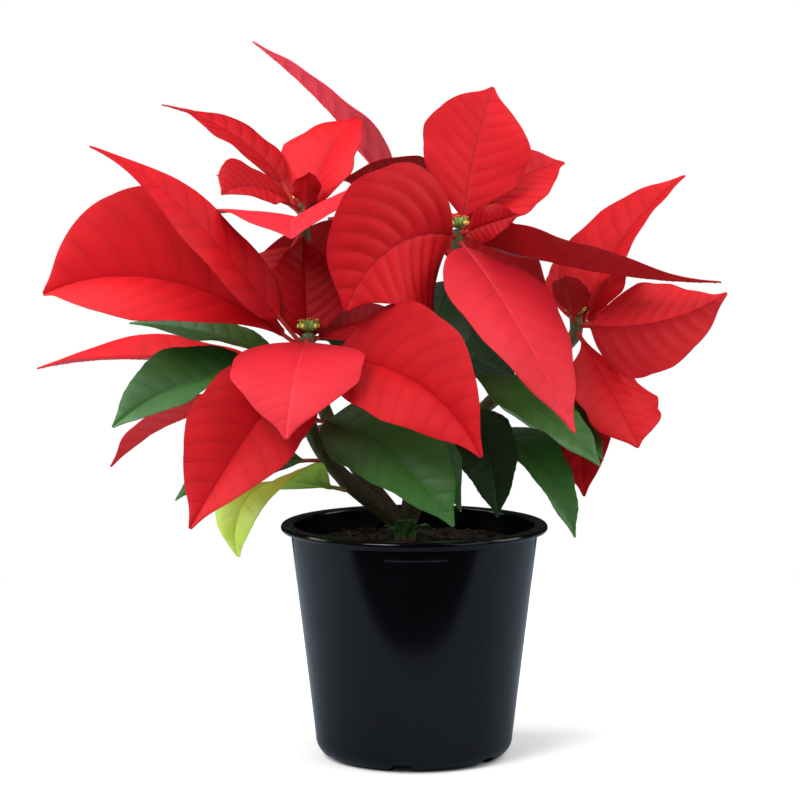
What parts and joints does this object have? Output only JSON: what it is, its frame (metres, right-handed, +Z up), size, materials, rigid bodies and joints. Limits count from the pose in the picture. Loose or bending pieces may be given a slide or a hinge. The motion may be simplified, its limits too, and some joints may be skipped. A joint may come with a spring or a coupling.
{
  "type": "potted poinsettia plant",
  "caption": "Red poinsettia with broad pointed bracts, green lower leaves and small green-yellow flowers, in a round glossy black nursery pot with soil.",
  "frame": {"origin": "on the pot's axis, on the surface the pot stands on", "axes": "+Z up, -Y to the front as pictured, +X to the viewer's right"},
  "size_m": [0.3882, 0.3022, 0.4006],
  "materials": {
    "pot": "glossy black moulded plastic",
    "soil": "dark crumbly potting mix",
    "stem": "matt brown-green stem",
    "cyathia": "satin green-yellow cups",
    "bract": "velvety red leaf",
    "leaf": "satin dark green leaf",
    "pale_leaf": "satin yellow-green leaf"
  },
  "bodies": {
    "root": {"bract_a1": "bract", "bract_a2": "bract", "bract_a3": "bract", "bract_a4": "bract", "bract_a5": "bract", "bract_a6": "bract", "bract_a7": "bract", "bract_a8": "bract", "bract_a9": "bract", "bract_b1": "bract", "bract_b2": "bract", "bract_b3": "bract", "bract_b4": "bract", "bract_b5": "bract", "bract_b6": "bract", "bract_c1": "bract", "bract_c2": "bract", "bract_c3": "bract", "bract_c4": "bract", "bract_c5": "bract", "bract_c6": "bract", "bract_c7": "bract", "bract_d1": "bract", "bract_d2": "bract", "bract_d3": "bract", "bract_d4": "bract", "bract_d5": "bract", "bract_d6": "bract", "bract_d7": "bract", "bract_e1": "bract", "bract_e2": "bract", "bract_e3": "bract", "bract_e4": "bract", "bract_e5": "bract", "bract_e6": "bract", "cyathia_a": "cyathia", "cyathia_b": "cyathia", "cyathia_c": "cyathia", "cyathia_d": "cyathia", "cyathia_e": "cyathia", "leaf_1": "leaf", "leaf_10": "leaf", "leaf_11": "leaf", "leaf_12": "leaf", "leaf_13": "leaf", "leaf_14": "leaf", "leaf_15": "leaf", "leaf_16": "leaf", "leaf_17": "leaf", "leaf_2": "leaf", "leaf_3": "pale_leaf", "leaf_4": "leaf", "leaf_5": "leaf", "leaf_6": "leaf", "leaf_7": "leaf", "leaf_8": "leaf", "leaf_9": "leaf", "pot": "pot", "soil": "soil", "stem": "stem"}
  },
  "joints": []
}
